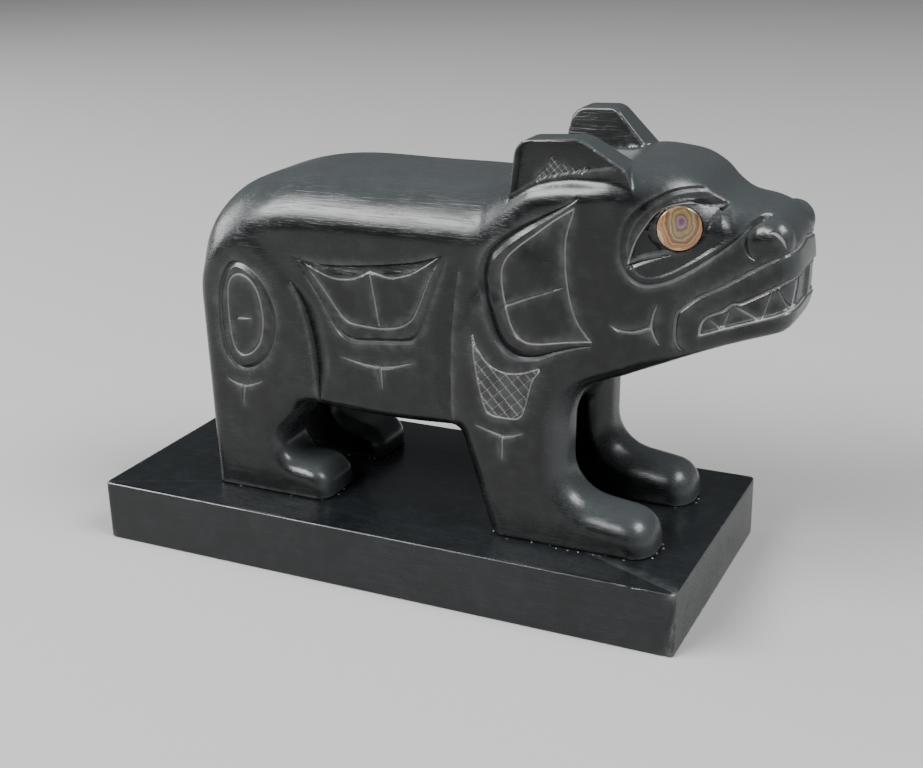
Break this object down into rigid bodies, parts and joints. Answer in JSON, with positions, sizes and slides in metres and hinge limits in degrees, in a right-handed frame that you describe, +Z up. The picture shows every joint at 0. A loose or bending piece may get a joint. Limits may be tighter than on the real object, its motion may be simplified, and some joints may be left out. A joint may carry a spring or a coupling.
{
  "type": "argillite bear carving",
  "caption": "Bear standing on a rectangular plinth, carved in dark stone with incised flank, rump and shoulder ornament and round shell eyes.",
  "frame": {"origin": "centre of the plinth's underside, on the surface that it stands on", "axes": "+X the way the bear looks, along the plinth's length; +Z up; -Y the bear's right side"},
  "size_m": [0.1667, 0.0666, 0.1088],
  "materials": {
    "plinth": "satin, lightly scratched",
    "bear": "satin polish",
    "eye_inlay": "polished shell"
  },
  "bodies": {
    "root": {"plinth": "plinth", "bear": "bear", "eye_inlay_right": "eye_inlay", "eye_inlay_left": "eye_inlay"}
  },
  "joints": []
}
